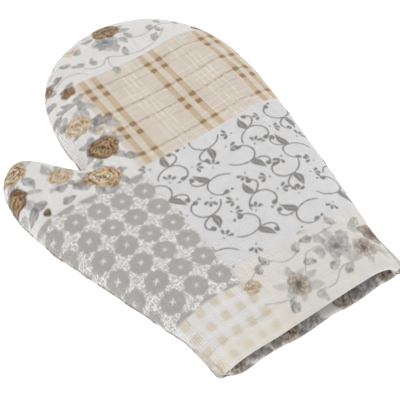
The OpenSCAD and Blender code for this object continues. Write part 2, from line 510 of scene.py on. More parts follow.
def closed_layer(side, outer_depth, inner_depth, grid, cuff):
    """A closed solid between two faces of the same grid."""
    outer = cloth_panel(side, outer_depth, grid, cuff)
    distance, place, inset, _ = nearest_on_seam(outer.points[:, :2])
    inward = (outer.points[:, :2] - place) / np.maximum(distance, 1e-6)[:, None]
    reach = full_inset(side, inset)
    share = np.clip((distance - outer_depth) / (reach - outer_depth), 0, 1)
    deeper = np.where(share < 1, inner_depth + share * (reach - inner_depth), distance)
    inner = outer.points.copy()
    inner[:, :2] = place + inward * deeper[:, None]
    height = full_height(side, inner_depth) * np.sqrt(share * (2 - share))
    inner[:, 2] = SEAM + side * height
    edges = outer.edge_loops()
    count = len(outer.points)
    rim = np.column_stack([edges[:, 1], edges[:, 0], edges[:, 0] + count, edges[:, 1] + count])
    faces = np.vstack([outer.faces, outer.faces[:, ::-1] + count, rim])
    points = settle(np.vstack([outer.points, inner]), side)
    return Cloth(points, np.vstack([outer.flat, outer.flat]), faces)


# ---------------------------------------------------------------- colours of the print, as sRGB


def rgb(red, green, blue):
    """An sRGB colour as linear light."""
    c = np.array([red, green, blue]) / 255
    return np.where(c <= 0.04045, c / 12.92, ((c + 0.055) / 1.055) ** 2.4)


WHITE = rgb(228, 226, 223)
PLAID_GROUND = rgb(220, 209, 197)
PLAID_STRIPE = rgb(196, 168, 126)
PLAID_CHECK = rgb(148, 113, 68)
PLAID_PALE = rgb(240, 232, 216)
PLAID_SHADE = rgb(201, 190, 176)
PLAID_LINE = rgb(180, 149, 107)
LATTICE_GREY = rgb(175, 171, 168)
LACE = rgb(236, 234, 230)
SCROLL_GROUND = rgb(222, 221, 222)
SCROLL_GREY = rgb(136, 133, 129)
# Of the seeds 1 to 59, the one with the least overlap between vines and sprigs.
SCROLL_SEED = 45
GINGHAM_GROUND = rgb(230, 228, 226)
GINGHAM_BEIGE = rgb(213, 201, 180)
CREAM = rgb(224, 220, 215)
WARM_CREAM = rgb(234, 222, 200)
LINE_GREY = rgb(150, 148, 148)
LEAF_LIGHT = rgb(190, 187, 186)
FAINT_LEAF = rgb(208, 205, 202)
LEAF_DARK = rgb(120, 116, 115)
GOLD = (rgb(228, 212, 182), rgb(182, 148, 104), rgb(104, 74, 46))
BROWN = (rgb(190, 156, 114), rgb(124, 92, 62), rgb(72, 54, 42))
TAN = (rgb(228, 214, 192), rgb(200, 176, 142), rgb(150, 122, 90))
DUSTY = (rgb(208, 198, 186), rgb(160, 144, 128), rgb(98, 84, 74))
GREY = (rgb(208, 206, 206), rgb(166, 163, 163), rgb(112, 108, 108))


def soft_step(value, width=0.5):
    """0 below zero and 1 above it, with an edge that is about width millimetres wide."""
    t = np.clip(value / width + 0.5, 0, 1)
    return t * t * (3 - 2 * t)


class Print:
    """Colours painted on a cloth's points, at their places in the flat print."""

    def __init__(self, flat, ground):
        self.x, self.y = flat.T
        self.colour = np.tile(ground, (len(flat), 1))
        self.lace = np.zeros(len(flat))

    def lay(self, index, colour, cover):
        """Covers the points at index with colour, as far as cover says."""
        cover = cover[:, None]
        self.colour[index] = self.colour[index] * (1 - cover) + colour * cover

    def fill(self, colour, cover):
        self.lay(slice(None), colour, cover)

    def result(self):
        """The colours, with the share of lace as a fourth column: its strokes are in the material."""
        return np.column_stack([self.colour, self.lace])

    def near(self, x, y, reach):
        """The points near a motif, and their places seen from it."""
        index = np.nonzero((np.abs(self.x - x) < reach) & (np.abs(self.y - y) < reach))[0]
        return index, self.x[index] - x, self.y[index] - y


def turned(x, y, degrees):
    a = math.radians(degrees)
    return x * math.cos(a) + y * math.sin(a), y * math.cos(a) - x * math.sin(a)


def step_from(x, y, degrees, distance):
    """The place this far from x, y in this direction."""
    a = math.radians(degrees)
    return x + distance * math.cos(a), y + distance * math.sin(a)


def stripe(value, centre, width, period):
    """1 on stripes of this width that repeat, and 0 between them."""
    off = np.abs((value - centre + period / 2) % period - period / 2)
    return soft_step(width / 2 - off)


def between(value, low, high, width=0.8):
    return soft_step(value - low, width) * soft_step(high - value, width)


# ---------------------------------------------------------------- motifs


def stroke(ink, path, width, colour, strength=1.0, taper=0.3):
    """A line along a path, thinner towards its ends."""
    middle, reach = (path.max(0) + path.min(0)) / 2, (path.max(0) - path.min(0)).max() / 2 + 2 * width
    index, x, y = ink.near(*middle, reach)
    if len(index) == 0:
        return
    points = np.column_stack([x, y]) + middle
    best = np.full(len(points), -np.inf)
    share = np.linspace(0, 1, len(path))
    thick = width / 2 * np.clip(taper + (1 - taper) * 2.2 * np.sin(math.pi * share), 0, 1)
    for a, b, w in zip(path, path[1:], thick):
        step = b - a
        t = np.clip((points - a) @ step / (step @ step + 1e-9), 0, 1)
        best = np.maximum(best, w - np.hypot(*(points - a - t[:, None] * step).T))
    ink.lay(index, colour, strength * soft_step(best))


def winding(x, y, heading, length, turn, tighten=1.0, steps=14):
    """A path that starts at x, y and turns by turn degrees in all, tighter and tighter towards its end."""
    share = (np.arange(steps) + 0.5) / steps
    angle = np.radians(heading + turn * share ** (1 + tighten))
    step = length / steps * np.column_stack([np.cos(angle), np.sin(angle)])
    return np.vstack([[x, y], np.array([x, y]) + np.cumsum(step, axis=0)])


def leaf_places(ink, x, y, angle, length):
    """The points near a leaf, their places along and across it, and their share of its length."""
    index, u, v = ink.near(x, y, length + 1)
    u, v = turned(u, v, angle)
    return index, u, v, np.clip(u / length, 0, 1)


def wavered(ink, index, u, v, size, reach, seeds):
    """Places shifted about at random, which makes a motif's outlines uneven."""
    px, py = ink.x[index], ink.y[index]
    shifts = (reach * (noise(px, py, size, seed) - 0.5) for seed in seeds)
    return u + next(shifts), v + next(shifts)


def three_tones(tones, low, high):
    """From dark to middle as low goes from 0 to 1, and from middle to light as high does."""
    light, middle, dark = tones
    low, high = (np.clip(share, 0, 1)[:, None] for share in (low, high))
    return dark + (middle - dark) * low + (light - middle) * high


def leaf(ink, x, y, angle, length, width, light, dark, strength=1.0):
    """A painted leaf with a midrib and veins, darker along one half. It starts at x, y."""
    index, u, v, share = leaf_places(ink, x, y, angle, length)
    v = v - 0.08 * length * np.sin(math.pi * share)
    half = width / 2 * np.sin(math.pi * share**0.75) ** 0.8
    wash = noise(ink.x[index], ink.y[index], 2.0, 5)
    brush = noise(ink.x[index], ink.y[index], 0.9, 6)
    edge = np.minimum(half - np.abs(v) + 0.9 * (wash - 0.5), np.minimum(u, length - u))
    inside = soft_step(edge, 0.6) * np.clip(0.5 + 0.9 * brush, 0, 1)
    veins = 0.5 + 0.5 * np.sin((u - 0.9 * np.abs(v)) * 2 * math.pi / 2.2)
    mix = 0.3 * soft_step(v, 0.8) + 0.25 * veins + 1.2 * (wash - 0.5) + 0.2 + 0.45 * soft_step(0.7 - edge)
    ink.lay(index, light + (dark - light) * np.clip(mix, 0, 1)[:, None], strength * inside)
    ink.lay(index, dark, strength * 0.6 * soft_step(0.25 - np.abs(v)) * inside)


def solid_leaf(ink, x, y, angle, length, width, colour):
    """A plain leaf with a pale midrib, bent a little to one side."""
    index, u, v, share = leaf_places(ink, x, y, angle, length)
    v = v - 0.10 * length * np.sin(math.pi * share)
    half = width / 2 * np.sin(math.pi * share**0.7)
    inside = soft_step(np.minimum(half - np.abs(v), np.minimum(u, length - u)))
    ink.lay(index, colour, inside * (1 - 0.4 * soft_step(0.25 - np.abs(v)) * (share < 0.85)))


def drop(ink, x, y, angle, length, colour, fat=0.5):
    """A drop with its point at x, y and a round far end."""
    index, u, v, share = leaf_places(ink, x, y, angle, length)
    half = fat * length / 2 * np.sqrt(np.sin(math.pi * share**1.7))
    ink.lay(index, colour, soft_step(np.minimum(half - np.abs(v), np.minimum(u, length - u)), 0.4))


def dot(ink, x, y, radius, colour):
    index, u, v = ink.near(x, y, radius + 1)
    ink.lay(index, colour, soft_step(radius - np.hypot(u, v), 0.4))


def rose(ink, x, y, radius, tones, turn=0.0, strength=1.0):
    """A full rose, loosely painted: rings of ruffled petals with pale rims, the outer ones first."""
    dark = tones[2]
    index, u, v = ink.near(x, y, 1.4 * radius)
    px, py = ink.x[index], ink.y[index]
    u, v = wavered(ink, index, u, v, 3.4, 2.4, (71, 73))
    u, v = wavered(ink, index, u, v, 1.3, 0.9, (72, 74))
    u, v = turned(u, v, turn)
    grain = noise(px, py, 0.8, 7)
    brush = noise(px, py, 1.8, 8)
    rings = ((0.58, 0.52, 5), (0.42, 0.44, 4), (0.24, 0.38, 4), (0.12, 0.26, 3), (0.04, 0.14, 2))
    for ring, (out, size, count) in enumerate(rings):
        for k in range(count):
            p, q = turned(u + 0.03 * radius * ring, v - 0.04 * radius * ring, 53 * ring + 360 * k / count)
            reach = size * radius * (1 + 0.16 * math.sin(4 * k + 2 * ring))
            edge = (1 - np.hypot((p - out * radius) / reach, q / (1.25 * reach))) * reach
            tone = 0.08 + 0.1 * ring + 0.45 * (p - out * radius) / reach
            tone = tone + 1.2 * (grain - 0.5) + 0.9 * (brush - 0.5)
            rim = soft_step(1.1 - edge, 0.9) * (p > out * radius) * (0.35 + 0.15 * ring + 0.7 * brush)
            tone = np.clip(np.maximum(tone, rim), 0, 1)
            colour = three_tones(tones, 2 * tone, 2 * tone - 1)
            ink.lay(index, dark, 0.5 * strength * soft_step(edge + 0.5, 0.6))
            ink.lay(index, colour, strength * soft_step(edge, 0.6))
    heart = 0.13 * radius - np.hypot(u + 0.12 * radius, v - 0.16 * radius)
    ink.lay(index, dark, 0.85 * strength * soft_step(heart, 1.2))


def foliage(ink, x, y, radius, count, seed, tones=None, size=10.0):
    """Leaves that point outwards from behind a flower, in light and dark washes."""
    random = np.random.default_rng(seed)
    light, middle, dark = tones or GREY
    for k in range(count):
        a = 360 * (k + random.uniform(-0.3, 0.3)) / count
        out = radius * random.uniform(0.55, 0.95)
        px, py = step_from(x, y, a, out)
        length = size * random.uniform(0.75, 1.2)
        deep = random.uniform(0, 1)
        leaf(ink, px, py, a + random.uniform(-35, 35), length, 0.6 * length,
             light + (middle - light) * deep, middle + (dark - middle) * deep, random.uniform(0.6, 0.95))


def bloom(ink, x, y, radius, tones, petals=5, turn=0.0, strength=0.85):
    """An open flower in loose, dry brushwork, with a dark heart."""
    dark = tones[2]
    index, u, v = ink.near(x, y, 1.3 * radius)
    px, py = ink.x[index], ink.y[index]
    grain = noise(px, py, 0.9, 9)
    wash = noise(px, py, 2.6, 10)
    u, v = wavered(ink, index, u, v, 2.4, 1.6, (75, 76))
    for k in range(petals):
        p, q = turned(u, v, turn + 360 * k / petals)
        long = 0.48 * radius * (1 + 0.18 * math.sin(3 * k + turn))
        edge = (1 - np.hypot((p - 0.5 * radius) / long, q / (0.46 * radius))) * 0.45 * radius
        tone = np.clip(0.25 + 0.35 * p / radius + 1.1 * (grain - 0.5) + 0.9 * (wash - 0.5), 0, 1)
        colour = three_tones(tones, 0.3 + 1.5 * tone, 1.8 * tone - 0.8)
        ink.lay(index, colour, strength * soft_step(edge, 0.7) * np.clip(0.35 + 0.9 * wash, 0, 1))
        ink.lay(index, dark, 0.55 * strength * soft_step(0.4 - np.abs(edge - 0.2)) * grain)
    heart = soft_step(0.24 * radius - np.hypot(u, v), 1.2) * np.clip(0.2 + grain, 0, 1)
    ink.lay(index, dark, strength * heart)


def bud(ink, x, y, angle, length, tones):
    """A half-closed bud on a calyx leaf."""
    leaf(ink, x, y, angle + 55, 0.7 * length, 0.3 * length, LEAF_LIGHT, LEAF_DARK)
    leaf(ink, x, y, angle - 55, 0.6 * length, 0.3 * length, LEAF_LIGHT, LEAF_DARK)
    rose(ink, *step_from(x, y, angle, 0.45 * length), 0.5 * length, tones, turn=angle)


# ---------------------------------------------------------------- the front's patches


def plaid(ink):
    """Gold window-pane checks on a pale ground: pairs of stripes, and thin ragged cross lines. The
    cloth was laid a little askew, so the stripes lean and the cross lines bend upwards."""
    x = ink.x + 0.02 * (50 - ink.y)
    y = ink.y - 0.0006 * (np.maximum(ink.x, -40) + 40) ** 2
    area = between(x, -23.5, 999) * between(y, -2, 93.3)
    across, up = 51.0, 45.2
    pair_middle, pair_half = -11.2, 4.9
    double_middle, double_half, single = 31.5, 4.4, 8.0
    threads = 0.5 + 0.5 * np.sin(2 * math.pi * x / 1.7)
    ragged = noise(x, y, 1.6, 21)
    fine = noise(x / 5, y, 0.9, 22)
    ink.fill(PLAID_GROUND, area)
    ink.fill(PLAID_SHADE, area * 0.4 * fine)
    for off in (18.5, 23.5, 27.5, 31.5):
        line = stripe(x, pair_middle + off, 1.0, across)
        ink.fill(PLAID_PALE, area * 0.95 * line * noise(x, y, 4, 23))
    for off in (13.5, 18.5, 28.0):
        line = stripe(y, double_middle + off, 1.0, up)
        ink.fill(PLAID_PALE, area * 0.7 * line * noise(x, y, 4, 24))
    width = 4.8
    stripes = sum(stripe(x, pair_middle + off, width, across) for off in (-pair_half, pair_half))
    ink.fill(PLAID_STRIPE, area * stripes * (0.6 + 0.4 * threads * noise(x, y / 6, 1.2, 25)))
    upper, lower = double_middle + double_half, double_middle - double_half
    for middle, strength in ((upper, 0.9), (lower, 0.35), (single, 0.8)):
        line = stripe(y + 0.8 * (ragged - 0.5), middle, 1.5, up)
        ink.fill(PLAID_LINE, area * line * np.clip(strength * (0.2 + 0.9 * ragged), 0, 1))
    for middle, height in ((upper, 4.2), (lower, 4.2), (single, 3.2)):
        checks = stripes * stripe(y, middle, height, up)
        ink.fill(PLAID_CHECK, area * checks * (0.75 + 0.25 * threads))


def gingham(ink, area):
    """Small beige checks on white."""
    x, y = ink.x, ink.y
    across, up = 10.5, 10.2
    upright = stripe(x, -70, 5.2, across)
    level = stripe(y, -119, 5.0, up)
    loose = 0.75 + 0.5 * noise(x, y, 1.2, 31)
    ink.fill(GINGHAM_GROUND, area)
    ink.fill(GINGHAM_BEIGE, area * 0.14 * (upright + level))
    ink.fill(GINGHAM_BEIGE, area * np.clip(0.7 * upright * level * loose, 0, 1))
    ink.fill(WARM_CREAM, area * 0.35 * soft_step(-143 - y, 8))


def lattice(ink, area):
    """Grey eight-lobed flowers in straight rows, with a rosette of lace in each gap between four."""
    across, up = 16.6, 16.4
    lean = 0.02 * (ink.x + 50)
    u = (ink.x + 50.6 + across / 2) % across - across / 2
    v = (ink.y + lean + 21.5 + up / 2) % up - up / 2
    r, a = np.hypot(u, v), np.arctan2(v, u)
    gap = np.hypot(across / 2 - np.abs(u), up / 2 - np.abs(v))
    loose = noise(ink.x, ink.y, 1.0, 41)
    ink.fill(LATTICE_GREY, area)
    petals = 6.3 + 1.3 * np.abs(np.cos(4 * a)) ** 0.7 + 0.5 * (loose - 0.5)
    rosette = soft_step(r - petals, 0.8) * soft_step(8.0 - gap, 4.0)
    ink.fill(LACE, area * 0.25 * rosette)
    ink.lace = area * rosette
    diagonal = np.minimum(np.abs(u + v), np.abs(u - v)) / math.sqrt(2)
    ink.fill(LACE, area * 0.8 * soft_step(2.0 - r, 0.7) * soft_step(0.42 - diagonal, 0.5))


def heading_of(step):
    return math.degrees(math.atan2(step[1], step[0]))


def scroll_unit(ink, x, y, heading, mirror):
    """A vine's joint: a long arc that ends in drops, a hooked tendril with a round head, a plain
    tail and a leaf."""
    colour = SCROLL_GREY
    arc = winding(x, y, heading, 23, 170 * mirror, 0.1)
    hook = winding(x, y, heading - 8 * mirror, 18, -175 * mirror, 1.6)
    stroke(ink, arc, 1.15, colour, taper=0.75)
    stroke(ink, hook, 1.2, colour, taper=0.9)
    stroke(ink, winding(x, y, heading + 180, 15, -60 * mirror, 0.2), 1.1, colour, taper=0.5)
    step = arc[-1] - arc[-2]
    onward = heading_of(step)
    drop(ink, *(arc[-1] - 1.6 * step), onward + 14 * mirror, 5.6, colour, fat=0.6)
    drop(ink, *(arc[-1] + 2.2 * step), onward + 34 * mirror, 3.0, colour, fat=0.62)
    dot(ink, *(hook[-1] + 0.2 * (hook[-1] - hook[-2])), 1.9, colour)
    solid_leaf(ink, x, y, heading - 70 * mirror, 12.5, 5.4, colour)


def sprig(ink, x, y, heading):
    """Three drops that fan out from a dot."""
    for off in (-48, 0, 48):
        drop(ink, *step_from(x, y, heading + off, 1.0), heading + off, 4.6, SCROLL_GREY, fat=0.5)
    dot(ink, *step_from(x, y, heading, -2.0), 0.75, SCROLL_GREY)


def scrolls(ink, low, high):
    """Vine joints in staggered rows over a rectangle, with sprigs in the gaps between them."""
    across, up = 32.0, 25.5
    random = np.random.default_rng(SCROLL_SEED)
    margin = across / 2
    for row, y in enumerate(np.arange(high[1] - margin, low[1], -up)):
        first = low[0] + margin - across / 2 * (row % 2)
        for column, x in enumerate(np.arange(first, high[0] + across / 2, across)):
            heading = 180 * ((column + row // 2) % 2) + random.uniform(-30, 30)
            mirror = 1 if row % 2 else -1
            scroll_unit(ink, x, y, heading, mirror)
            for ahead, beside, towards in ((14, 11, 40), (-12, -7, 215)):
                dx, dy = turned(np.array(ahead), np.array(beside * mirror), -heading)
                sprig(ink, x + dx, y + dy, heading + towards * mirror)


def twig(ink, *points):
    """A thin grey vine through points."""
    stroke(ink, smooth_curve(np.array(points, float), 8), 0.7, LINE_GREY, strength=0.8, taper=0.8)


def drawn_leaves(ink, places, length, width, light=LEAF_LIGHT, dark=LEAF_DARK):
    for x, y, angle in places:
        leaf(ink, x, y, angle, length, width, light, dark, strength=0.8)


def front_print(flat):
    """The front's patchwork: plaid, scrolls, lattice flowers, gingham, and flowers on white."""
    ink = Print(flat, WHITE)
    x, y = ink.x, ink.y
    left = soft_step(-26 - x, 1.0)
    right = 1 - left

    ink.fill(SCROLL_GROUND, right * between(y, -107, 6))
    scrolls(ink, (-26, -106), (106, 4))
    plaid(ink)
    lower = soft_step(-105 - y, 7.0)
    ink.fill(CREAM, lower)
    ink.fill(WARM_CREAM, lower * 0.45 * soft_step(8 - np.abs(x + 18), 12) * noise(x, y, 14, 51))
    gingham(ink, soft_step(-20 - x, 9.0) * soft_step(-116.5 - y))
    lattice(ink, left * between(y, -116, -6.8))
    cream_flowers(ink)
    crotch_flowers(ink)
    thumb_flowers(ink)
    cap_flowers(ink)
    return ink.result()


def crotch_flowers(ink):
    """Two big roses where the thumb meets the hand, with a trail of flowers up the hand's edge."""
    foliage(ink, -50, 4, 11, 8, seed=1)
    foliage(ink, -35, 29, 10, 6, seed=2)
    foliage(ink, -36, 57, 8, 5, seed=3)
    drawn_leaves(ink, [(-27, 66, 80), (-30, 76, 130), (-41, 75, 170), (-33, 98, 95), (-38, 88, 120),
                       (-27, 92, 40), (-24, 48, 20), (-28, 12, -20)], 11, 6.5, GREY[1], GREY[2])
    foliage(ink, -33, 72, 8, 6, seed=11)
    foliage(ink, -30, 44, 8, 6, seed=13)
    rose(ink, -37, 58, 8, TAN, turn=20)
    bloom(ink, -28, 44, 5, TAN, petals=5, turn=50, strength=0.5)
    bloom(ink, -61, 7, 6, GOLD, petals=5, turn=40)
    rose(ink, -34.5, 28.5, 9.5, BROWN, turn=15)
    rose(ink, -48.5, 4, 10.5, GOLD)
    bud(ink, -29, 87, 60, 9, BROWN)
    bud(ink, -38, 104, 80, 13, BROWN)
    bud(ink, -24, 110, 80, 5, GREY)


def thumb_flowers(ink):
    """Two roses towards the thumb's tip and loose leaves on its root."""
    foliage(ink, -97, 40, 10, 6, seed=4)
    foliage(ink, -104, 18, 9, 6, seed=5)
    foliage(ink, -72, 20, 8, 5, seed=6)
    drawn_leaves(ink, [(-80, 8, 20), (-71, 6, -10), (-90, 4, 160), (-82, -3, 10), (-98, 6, 220)],
                 10, 6.5, GREY[1], GREY[2])
    rose(ink, -71, 21, 7.5, TAN, strength=0.85)
    rose(ink, -96, 42, 9, GOLD, turn=30)
    rose(ink, -105, 21, 8, BROWN, turn=70)
    bud(ink, -94, -4, 70, 4.5, BROWN)


def cap_flowers(ink):
    """A brown rose at the fingertips, over thin twigs with drawn leaves."""
    twig(ink, (-28, 118), (-18, 122), (-8, 112), (-2, 103), (8, 102), (16, 108), (28, 103), (45, 102),
         (60, 107), (70, 116))
    twig(ink, (16, 108), (13, 100), (15, 95))
    twig(ink, (36, 120), (48, 116), (58, 117), (70, 122), (80, 120))
    twig(ink, (-30, 104), (-20, 108), (-12, 104), (-6, 98))
    drawn_leaves(ink, [(-10, 117, 130), (4, 104, 80), (30, 103, 75), (15, 96, 250), (54, 106, 40),
                       (66, 112, 100), (58, 118, 50), (44, 118, 110), (82, 118, 60), (-18, 128, 150),
                       (0, 124, 60), (70, 124, 70), (-24, 112, 200), (-2, 110, 160), (90, 106, 40)],
                 9.5, 5.5)
    foliage(ink, 26, 130, 12, 9, seed=7, tones=(LEAF_LIGHT, GREY[1], GREY[2]))
    bloom(ink, 23, 124, 10, GREY, petals=7)
    rose(ink, 31, 138, 9.5, BROWN, turn=50)
    bloom(ink, 0, 134, 8, TAN, petals=5, turn=10, strength=0.4)
    bud(ink, 95, 104, 60, 8, BROWN)


def cream_flowers(ink):
    """Faint blossoms and twigs along the cuff."""
    twig(ink, (-26, -136), (-14, -141), (-4, -141), (6, -136), (14, -126), (20, -120), (30, -121),
         (40, -128))
    twig(ink, (-22, -118), (-12, -113), (-4, -112), (4, -118), (14, -117), (22, -111), (34, -113),
         (50, -112))
    twig(ink, (56, -136), (62, -142), (64, -150))
    twig(ink, (8, -146), (20, -148), (30, -142), (40, -143))
    drawn_leaves(ink, [(38, -143, 200), (15, -117, 60), (-9, -142, 240), (-14, -149, 20), (7, -146, 290),
                       (-5, -115, 100), (13, -125, -30), (60, -118, 40), (48, -112, 100), (30, -112, 170),
                       (24, -140, 20), (27, -122, 250), (44, -118, 300), (70, -142, 30), (-14, -118, 60)],
                 9, 5.5, light=FAINT_LEAF)
    foliage(ink, 1, -136, 8, 7, seed=8, tones=(LEAF_LIGHT, LEAF_LIGHT, GREY[1]), size=9)
    foliage(ink, 54, -133, 10, 8, seed=9, tones=(LEAF_LIGHT, LEAF_LIGHT, GREY[1]), size=10)
    foliage(ink, 37, -126, 8, 6, seed=10, tones=(LEAF_LIGHT, LEAF_LIGHT, GREY[1]), size=9)
    bloom(ink, 1, -136, 8, DUSTY, petals=7, turn=30)
    bloom(ink, 38, -127, 9, GREY, petals=7, turn=15)
    bloom(ink, 54, -136, 8, DUSTY, petals=6)
    bloom(ink, 68, -127, 9, BROWN, petals=6, turn=20, strength=0.8)
    bud(ink, -25, -126, 70, 9, TAN)


# ---------------------------------------------------------------- the back's print


def back_print(flat):
    """Loose roses and leaves in grey and brown on white, in staggered rows."""
    ink = Print(flat, WHITE)
    random = np.random.default_rng(5)
    pitch = 22.0
    for row, y in enumerate(np.arange(-182, 160, pitch * 0.8)):
        for column, x in enumerate(np.arange(-118 + pitch / 2 * (row % 2), 120, pitch)):
            x, y_here = x + random.uniform(-4, 4), y + random.uniform(-4, 4)
            turn = random.uniform(0, 360)
            tones = (GREY, DUSTY, GREY, GREY)[(row + 2 * column) % 4]
            for k in range(3):
                a = turn + 120 * k
                leaf(ink, *step_from(x, y_here, a, 5), a, 11, 6.5, GREY[1], GREY[2])
            rose(ink, x, y_here, 8.0 if (row + column) % 2 else 6.5, tones, turn)
    return ink.result()


# ---------------------------------------------------------------- materials


class Nodes:
    """Shorthand for building a material's node tree."""

    def __init__(self, name):
        self.material = bpy.data.materials.new(name)
        self.material.use_nodes = True
        self.tree = self.material.node_tree
        self.shader = self.tree.nodes["Principled BSDF"]

    def link(self, value, socket):
        if isinstance(value, bpy.types.NodeSocket):
            self.tree.links.new(value, socket)
        else:
            socket.default_value = value

    def add(self, kind, inputs, **settings):
        """A new node. Each of its inputs is given as a value, or as the socket that feeds it."""
        node = self.tree.nodes.new(kind)
        for key, value in settings.items():
            setattr(node, key, value)
        for key, value in inputs.items():
            self.link(value, node.inputs[key])
        return node

    def attribute(self, name):
        return self.add("ShaderNodeAttribute", {}, attribute_name=name).outputs

    def math(self, operation, a, b=0.0):
        return self.add("ShaderNodeMath", {0: a, 1: b}, operation=operation).outputs[0]

    def noise(self, vector, scale, detail=2.0, roughness=0.5):
        inputs = {"Vector": vector, "Scale": scale, "Detail": detail, "Roughness": roughness}
        return self.add("ShaderNodeTexNoise", inputs).outputs["Fac"]

    def stretch(self, vector, x, y, z=1.0):
        return self.add("ShaderNodeVectorMath", {0: vector, 1: (x, y, z)}, operation="MULTIPLY").outputs[0]

    def ramp(self, value, low, high):
        """value from 0 to 1, spread from low to high and on past them."""
        inputs = {"Value": value, "To Min": low, "To Max": high}
        return self.add("ShaderNodeMapRange", inputs, clamp=False).outputs[0]

    def shade(self, colour, value):
        """colour times value."""
        return self.add("ShaderNodeVectorMath", {0: colour, "Scale": value}, operation="SCALE").outputs[0]

    def bump(self, height, distance, strength=1.0):
        node = self.add("ShaderNodeBump", {"Strength": strength, "Distance": distance, "Height": height})
        self.link(node.outputs["Normal"], self.shader.inputs["Normal"])

    def finish(self, roughness, sheen, specular=0.2):
        self.shader.inputs["Roughness"].default_value = roughness
        self.shader.inputs["Sheen Weight"].default_value = sheen
        self.shader.inputs["Sheen Roughness"].default_value = 0.6
        self.shader.inputs["Specular IOR Level"].default_value = specular
        return self.material


def plain_weave(nodes, place, thread):
    """Height of a plain weave from 0 to 1: each thread is round, and they take turns on top."""
    wobble = nodes.math("MULTIPLY", nodes.noise(place, 0.3 / thread, 1.0), 1.2 * thread)
    part = nodes.add("ShaderNodeSeparateXYZ", {0: place})
    waves = []
    for axis in (0, 1):
        shifted = nodes.math("ADD", part.outputs[axis], wobble)
        waves.append(nodes.math("SINE", nodes.math("MULTIPLY", shifted, math.pi / thread)))
    over = nodes.math("ADD", nodes.math("MULTIPLY", nodes.math("MULTIPLY", *waves), 0.5), 0.5)
    round_threads = [nodes.math("POWER", nodes.math("ABSOLUTE", wave), 0.8) for wave in waves]
    return nodes.math("MULTIPLY", nodes.math("MULTIPLY", *round_threads), nodes.ramp(over, 0.6, 1.0))


def laced(nodes, place, base, share):
    """base, with loose white lace strokes up and across over it where share says."""
    upright = nodes.noise(nodes.stretch(place, 0.95, 0.4), 1.0, 1.0)
    level = nodes.noise(nodes.stretch(place, 0.4, 1.0), 1.0, 1.0)
    strokes = nodes.math("MAXIMUM", upright, level)
    clear = nodes.add("ShaderNodeMapRange", {"Value": strokes, "From Min": 0.5, "From Max": 0.6})
    mix = nodes.add("ShaderNodeMix", {}, data_type="RGBA")
    under, over = (socket for socket in mix.inputs if socket.type == "RGBA")
    nodes.link(nodes.math("MULTIPLY", clear.outputs[0], share), mix.inputs[0])
    nodes.link(base, under)
    over.default_value = (*LACE, 1)
    return next(socket for socket in mix.outputs if socket.type == "RGBA")


def canvas(name, thread, colour=None, painted_weave_shade=0.2, relief=0.00025):
    """Woven cotton. Its colour is the cloth's print, or one colour, darkened between the threads by
    painted shade of the weave.
    """
    nodes = Nodes(name)
    place = nodes.attribute("cloth_mm")["Vector"]
    weave = plain_weave(nodes, place, thread)
    slubs = nodes.math(
        "ADD",
        nodes.noise(nodes.stretch(place, 0.9 / thread, 0.06 / thread), 1.0),
        nodes.noise(nodes.stretch(place, 0.06 / thread, 0.9 / thread), 1.0),
    )
    wear = nodes.noise(place, 0.03, 3.0)
    # Painted shade of the weave: the colour is darker where the threads dip and lighter on their tops.
    tone = nodes.ramp(weave, 1 - 0.55 * painted_weave_shade, 1 + 0.45 * painted_weave_shade)
    tone = nodes.math("MULTIPLY", tone, nodes.ramp(slubs, 0.77, 1.05))
    tone = nodes.math("MULTIPLY", tone, nodes.ramp(wear, 0.98, 1.04))
    if colour is None:
        printed = nodes.attribute("print")
        base = laced(nodes, place, printed["Color"], printed["Alpha"])
    else:
        base = tuple(colour)
    nodes.link(nodes.shade(base, tone), nodes.shader.inputs["Base Color"])
    nodes.link(nodes.ramp(weave, 0.95, 0.8), nodes.shader.inputs["Roughness"])
    nodes.bump(nodes.math("ADD", weave, nodes.math("MULTIPLY", slubs, 0.35)), relief)
    return nodes.finish(0.85, 0.15)


def batting(name):
    """White wadding: matted fibres."""
    nodes = Nodes(name)
    place = nodes.attribute("cloth_mm")["Vector"]
    fibres = nodes.noise(place, 0.6, 6.0, 0.7)
    tone = nodes.ramp(fibres, 0.85, 1.1)
    nodes.link(nodes.shade((0.86, 0.86, 0.83), tone), nodes.shader.inputs["Base Color"])
    nodes.bump(fibres, 0.0008)
    return nodes.finish(0.95, 0.3)


def thread(name, colour):
    """Twisted sewing thread, with painted shade in the grooves between its strands."""
    nodes = Nodes(name)
    place = nodes.add("ShaderNodeTexCoord", {}).outputs["Object"]
    inputs = {"Vector": place, "Scale": 450}
    wave = nodes.add("ShaderNodeTexWave", inputs, wave_type="BANDS", bands_direction="DIAGONAL")
    twist = wave.outputs["Fac"]
    # Painted shade: the colour darkens in the grooves of the twist.
    nodes.link(nodes.shade(colour, nodes.ramp(twist, 0.8, 1.08)), nodes.shader.inputs["Base Color"])
    nodes.bump(twist, 0.0001)
    return nodes.finish(0.6, 0.1)


def dress(obj, material):
    obj.data.materials.clear()
    obj.data.materials.append(material)


# ---------------------------------------------------------------- the pieces


def cloth_piece(name, node, cloth, material, colours=None):
    """A cloth as a visible piece that stands for a CAD node."""
    obj = make_object(name, cloth, colours)
    dress(obj, material)
    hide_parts(node)
    return obj


def outer_cloth(name, node, side, grid, paint, material):
    """A printed outer panel with its turned-in hem."""
    cloth = printed_cloth(side, grid)
    obj = cloth_piece(name, node, cloth, material, paint(cloth.flat))
    return cloth


def wadding(name, node, side, material):
    """A sheet of wadding, a little thinner than its room so that it clears the cloth on both sides."""
    top, bottom = CLOTH + WADDING_ROOM_OUT, UNDER_WADDING - WADDING_ROOM_IN
    cloth = closed_layer(side, top, bottom, INNER_GRID, CUFF + LIP)
    obj = cloth_piece(name, node, cloth, material)


def lining(name, node, side, material):
    """One side of the lining bag, which starts under the hem's end."""
    cloth = closed_layer(side, UNDER_WADDING, INSIDE, INNER_GRID, CUFF + HEM_DEPTH - HEM_OVERLAP)
    obj = cloth_piece(name, node, cloth, material)


